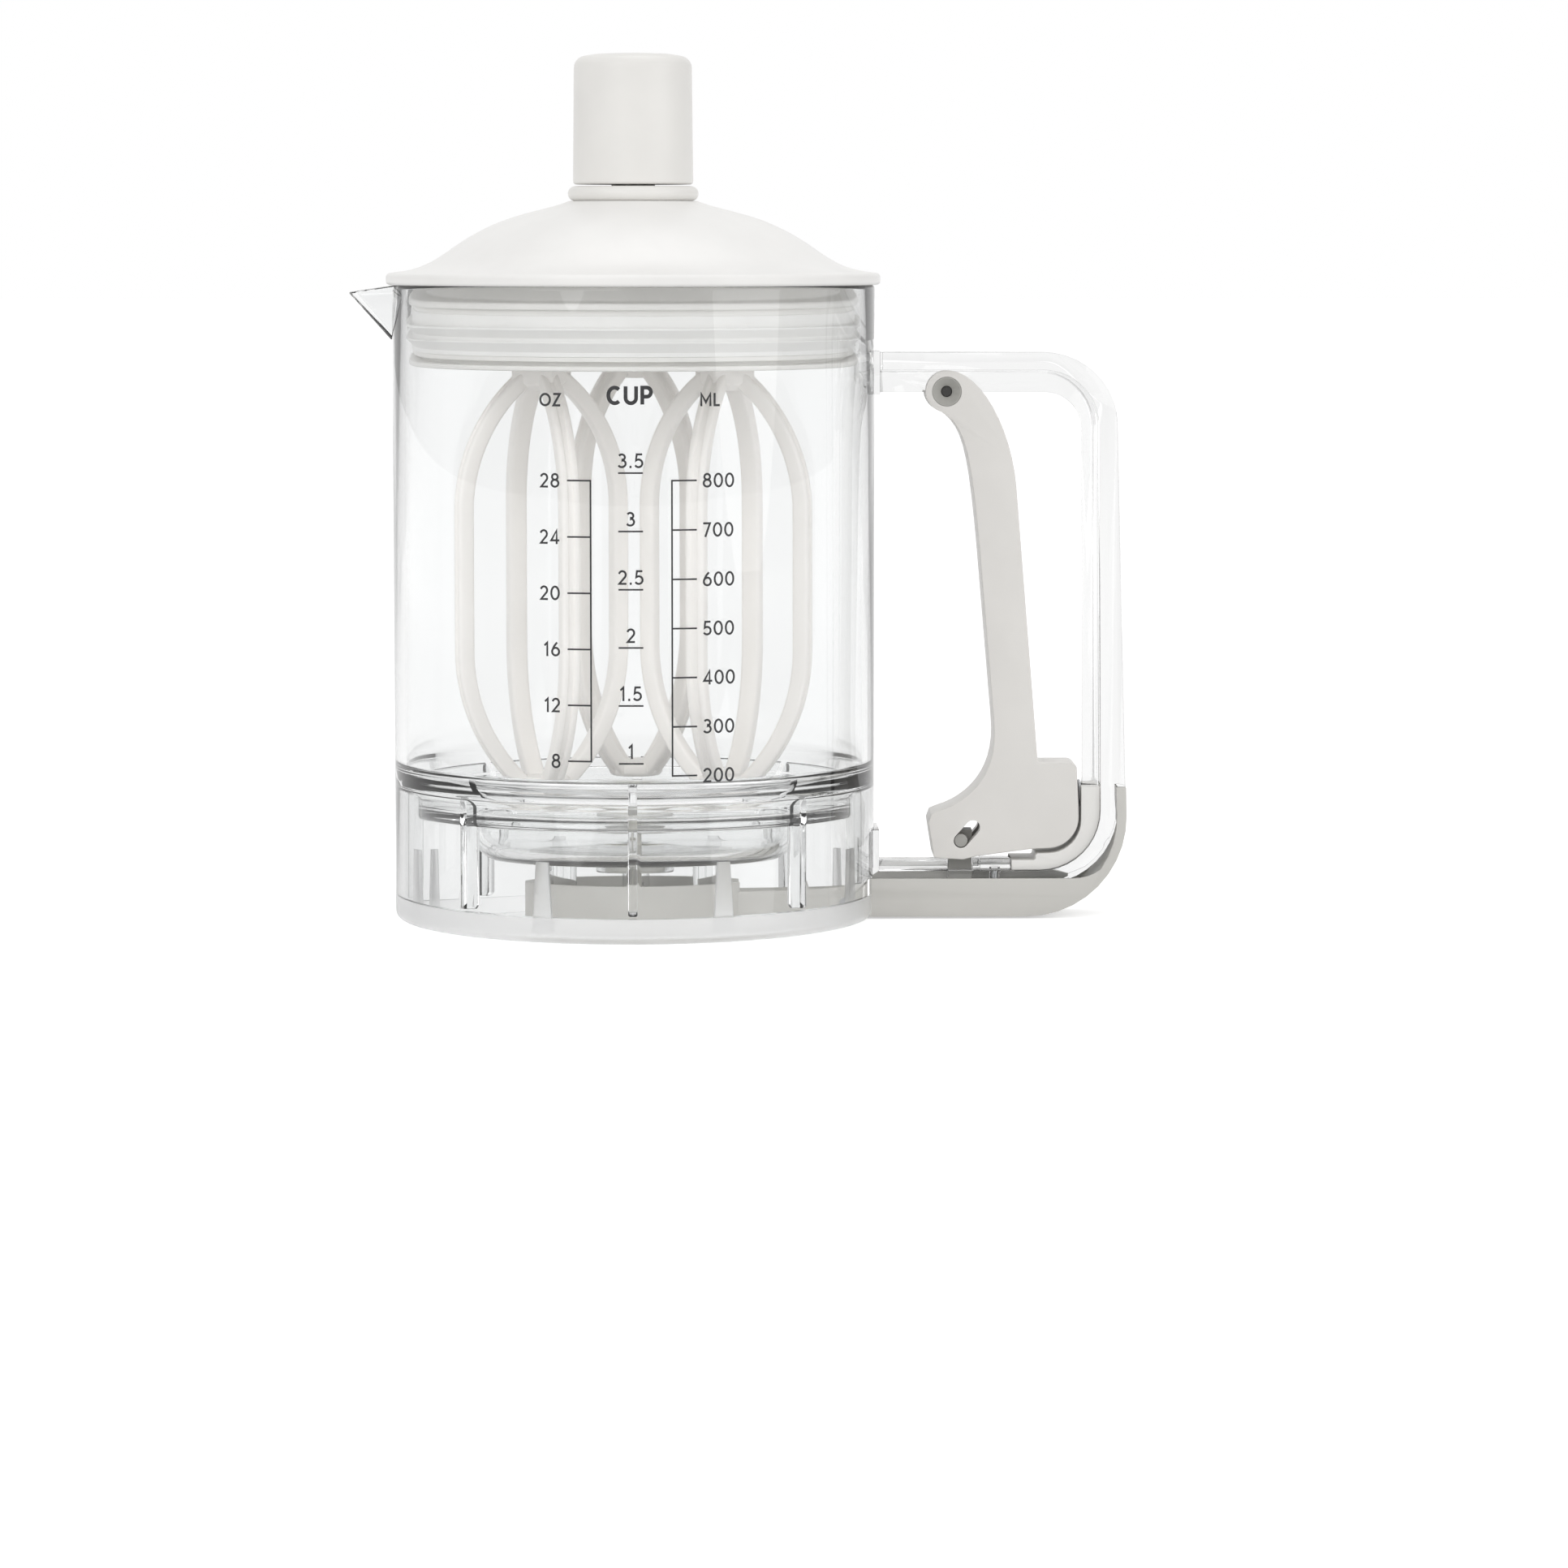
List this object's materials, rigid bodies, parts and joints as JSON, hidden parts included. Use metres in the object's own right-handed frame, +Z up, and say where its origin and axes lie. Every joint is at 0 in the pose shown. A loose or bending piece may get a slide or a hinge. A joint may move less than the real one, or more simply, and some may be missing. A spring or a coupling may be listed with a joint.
{
  "type": "batter dispenser",
  "caption": "Clear beaker with a pouring spout, a lift-off lid whose knob turns geared cage whisks, and a squeeze trigger in its handle that lifts a stopper in the floor.",
  "frame": {"origin": "centre of the foot ring's underside, on the table", "axes": "+Z up, +X towards the handle, the spout at -X"},
  "size_m": [0.1789, 0.1136, 0.1989],
  "materials": {
    "clear_plastic": "polished clear",
    "frosted_plastic": "frosted",
    "white_plastic": "satin",
    "ivory_plastic": "satin",
    "whisk_plastic": "satin",
    "grey_plastic": "satin",
    "seal_rubber": "soft",
    "steel": "satin"
  },
  "bodies": {
    "beaker_assembly": {"beaker": "clear_plastic", "beaker_floor": "clear_plastic", "foot_ring": "frosted_plastic", "handle_frame": "clear_plastic", "handle_base": "white_plastic", "spring_bracket": "white_plastic", "base_screws": "steel", "outlet_seat": "ivory_plastic", "rocker_pin": "steel", "pivot_pin": "steel"},
    "trigger_lever": {"trigger": "white_plastic", "return_spring": "steel"},
    "valve_slider": {"valve_post": "grey_plastic", "cam_pin": "grey_plastic"},
    "rocker": {"rocker_lever": "ivory_plastic"},
    "stopper": {"stopper_stem": "ivory_plastic", "stopper_seal": "seal_rubber"},
    "lid": {"lid_dome": "white_plastic", "lid_collar": "white_plastic", "gear_housing": "white_plastic", "lid_seal": "seal_rubber", "whisk_bushes": "ivory_plastic"},
    "turning_knob": {"knob": "white_plastic", "knob_spindle": "ivory_plastic", "sun_gear": "ivory_plastic", "spindle_clip": "steel"},
    "left_whisk": {"whisk_left": "whisk_plastic", "whisk_spindle_left": "ivory_plastic", "planet_gear_left": "ivory_plastic"},
    "right_whisk": {"whisk_right": "whisk_plastic", "whisk_spindle_right": "ivory_plastic", "planet_gear_right": "ivory_plastic"},
    "back_whisk": {"whisk_back": "whisk_plastic", "whisk_spindle_back": "ivory_plastic", "planet_gear_back": "ivory_plastic"}
  },
  "joints": [
    {"name": "trigger_squeeze", "type": "hinge", "parent": "beaker_assembly", "child": "trigger_lever", "pos_m": [0.0719, 0, 0.1216], "axis": [0, 1, 0], "range_deg": [0, 1.55], "stiffness_Nm_per_rad": 6, "springref_deg": 2.86, "deforming": ["return_spring"]},
    {"name": "post_slide", "type": "slide", "parent": "beaker_assembly", "child": "valve_slider", "axis": [0, 0, 1], "range_m": [0, 0.00291]},
    {"name": "rocker_tilt", "type": "hinge", "parent": "beaker_assembly", "child": "rocker", "pos_m": [0.048, 0, 0.0053], "axis": [0, 1, 0], "range_deg": [-6.1, 0]},
    {"name": "stopper_lift", "type": "slide", "parent": "beaker_assembly", "child": "stopper", "axis": [0, 0, 1], "range_m": [-0.00508, 0]},
    {"name": "lid_lift", "type": "slide", "parent": "beaker_assembly", "child": "lid", "axis": [0, 0, 1], "range_m": [0, 0.125]},
    {"name": "knob_turn", "type": "hinge", "parent": "lid", "child": "turning_knob", "pos_m": [0, 0, 0.16], "axis": [0, 0, 1], "continuous": true},
    {"name": "whisk_left_turn", "type": "hinge", "parent": "lid", "child": "left_whisk", "pos_m": [-0.02087, -0.01205, 0.1215], "axis": [0, 0, 1], "continuous": true},
    {"name": "whisk_right_turn", "type": "hinge", "parent": "lid", "child": "right_whisk", "pos_m": [0.02087, -0.01205, 0.1215], "axis": [0, 0, 1], "continuous": true},
    {"name": "whisk_back_turn", "type": "hinge", "parent": "lid", "child": "back_whisk", "pos_m": [0, 0.0241, 0.1215], "axis": [0, 0, 1], "continuous": true}
  ],
  "couplings": [
    {"joint": "post_slide", "follows": "trigger_squeeze", "m_per_rad": 0.1072},
    {"joint": "rocker_tilt", "follows": "trigger_squeeze", "ratio": -3.8945},
    {"joint": "stopper_lift", "follows": "trigger_squeeze", "m_per_rad": -0.18711},
    {"joint": "whisk_left_turn", "follows": "knob_turn", "ratio": -2},
    {"joint": "whisk_right_turn", "follows": "knob_turn", "ratio": -2},
    {"joint": "whisk_back_turn", "follows": "knob_turn", "ratio": -2}
  ]
}
